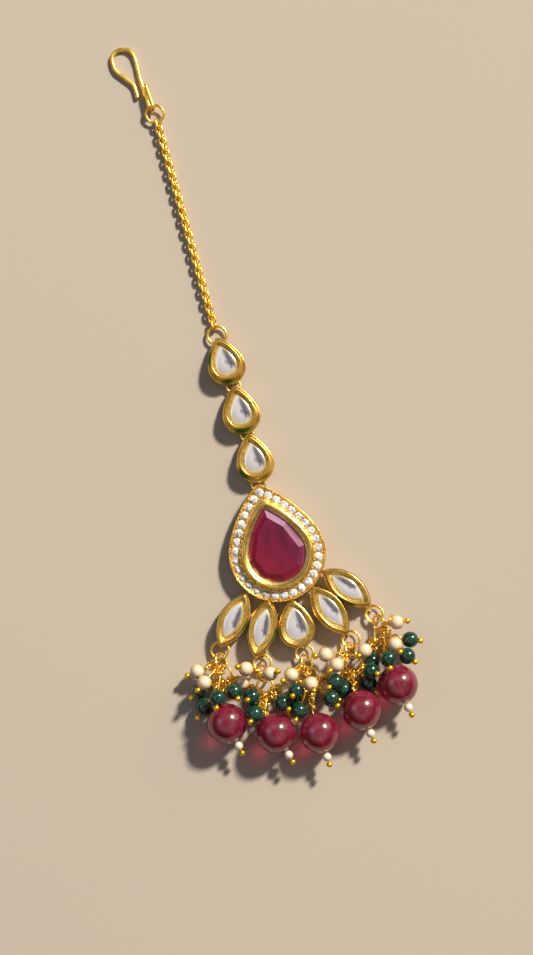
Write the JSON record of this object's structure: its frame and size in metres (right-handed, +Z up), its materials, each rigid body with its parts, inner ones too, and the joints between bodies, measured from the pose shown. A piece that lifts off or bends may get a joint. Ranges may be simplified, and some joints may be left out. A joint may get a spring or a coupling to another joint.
{
  "type": "maang tikka",
  "caption": "Hair jewel with a hook and a link chain, foil-backed pear stones in gold boxes, a ruby pendant ringed with clear stones, and hanging bunches of pearls and green and red beads.",
  "frame": {"origin": "on the pendant's flat back, at the centre of its round end, on the surface that the jewel lies on", "axes": "+Z up from the surface, towards the side that shows when worn; +Y along the chain to the hook; +X to the right of someone who looks down at it with the hook at the top; the bead drops lie at -Y"},
  "size_m": [0.0483, 0.1567, 0.0084],
  "materials": {
    "gold": "polished 22 carat gold plate, with green enamel on the side walls",
    "ruby": "polished, faceted, foil-backed",
    "clear_stone": "polished, faceted",
    "foil_stone": "polished, faceted, foil-backed",
    "pearl": "pearly sheen",
    "seed_bead": "pearly sheen",
    "green_bead": "polished",
    "red_bead": "polished, translucent"
  },
  "bodies": {
    "root": {"hook": "gold", "top_ring": "gold", "chain": "gold", "pear_ring": "gold", "pear_links": "gold", "pendant_setting": "gold", "ruby": "ruby", "halo_stones": "clear_stone", "pear_setting_1": "gold", "pear_stone_1": "foil_stone", "pear_setting_2": "gold", "pear_stone_2": "foil_stone", "pear_setting_3": "gold", "pear_stone_3": "foil_stone", "petal_stone_1": "foil_stone", "petal_ring_1": "gold", "drop_links_1": "gold", "bead_pins_1": "gold", "pearls_1": "pearl", "green_beads_1": "green_bead", "red_bead_1": "red_bead", "seed_bead_1": "seed_bead", "petal_stone_2": "foil_stone", "petal_ring_2": "gold", "drop_links_2": "gold", "bead_pins_2": "gold", "pearls_2": "pearl", "green_beads_2": "green_bead", "red_bead_2": "red_bead", "seed_bead_2": "seed_bead", "petal_stone_3": "foil_stone", "petal_ring_3": "gold", "drop_links_3": "gold", "bead_pins_3": "gold", "pearls_3": "pearl", "green_beads_3": "green_bead", "red_bead_3": "red_bead", "seed_bead_3": "seed_bead", "petal_stone_4": "foil_stone", "petal_ring_4": "gold", "drop_links_4": "gold", "bead_pins_4": "gold", "pearls_4": "pearl", "green_beads_4": "green_bead", "red_bead_4": "red_bead", "seed_bead_4": "seed_bead", "petal_stone_5": "foil_stone", "petal_ring_5": "gold", "drop_links_5": "gold", "bead_pins_5": "gold", "pearls_5": "pearl", "green_beads_5": "green_bead", "red_bead_5": "red_bead", "seed_bead_5": "seed_bead"}
  },
  "joints": []
}
